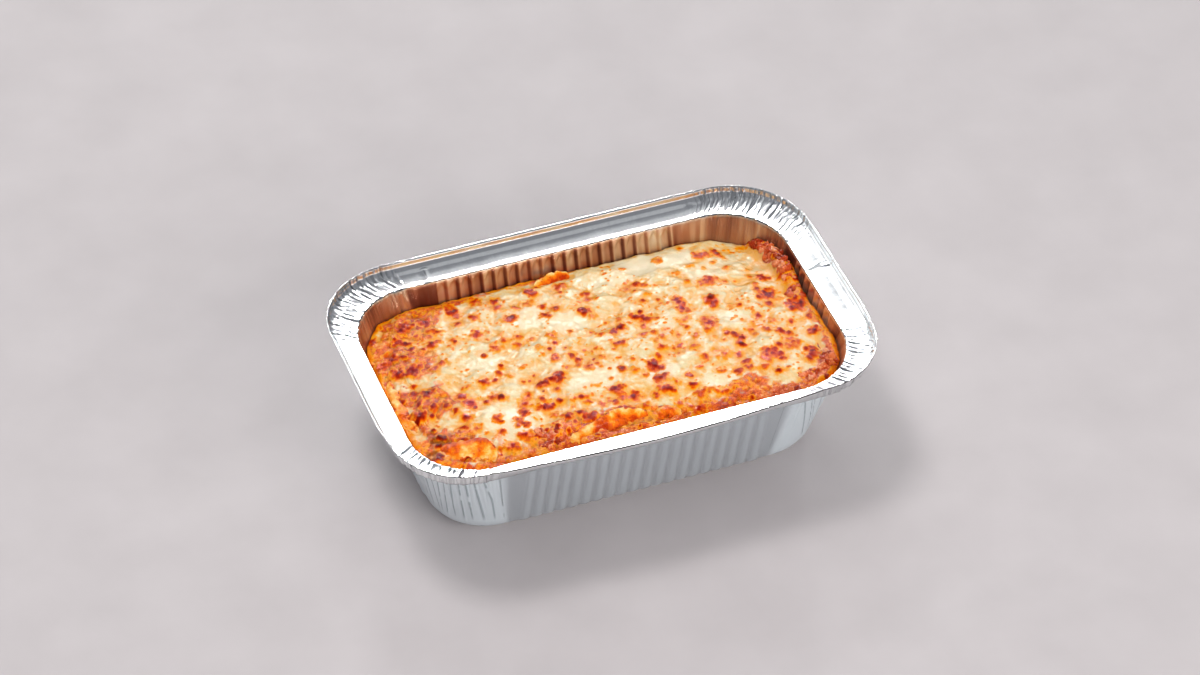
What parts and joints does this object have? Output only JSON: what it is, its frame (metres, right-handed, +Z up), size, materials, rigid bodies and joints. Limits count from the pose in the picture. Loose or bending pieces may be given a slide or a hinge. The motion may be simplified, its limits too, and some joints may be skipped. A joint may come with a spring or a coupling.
{
  "type": "foil tray meal",
  "caption": "Baked lasagne with toasted cheese on top, in a ribbed aluminium foil takeaway tray with a turned-up rim.",
  "frame": {"origin": "middle of the tray's underside, under the middle of the whole rim", "axes": "+X along the tray's length, +Z up from the table, -Y towards the tray's front"},
  "size_m": [0.2206, 0.1458, 0.0583],
  "materials": {
    "foil": "bright pressed foil, crinkled at the corners",
    "sauce": "baked tomato and meat sauce, rough and slightly oily",
    "cheese": "melted cheese, soft gloss with toasted spots",
    "pasta": "baked pasta edge, orange with browned tips"
  },
  "bodies": {
    "root": {"foil_tray": "foil", "lasagne_bake": "sauce", "melted_cheese": "cheese", "pasta_flap_back": "pasta", "pasta_corner_front": "pasta", "pasta_edge_front": "pasta", "pasta_curl_front": "pasta", "pasta_edge_right": "pasta", "pasta_edge_left": "pasta"}
  },
  "joints": []
}
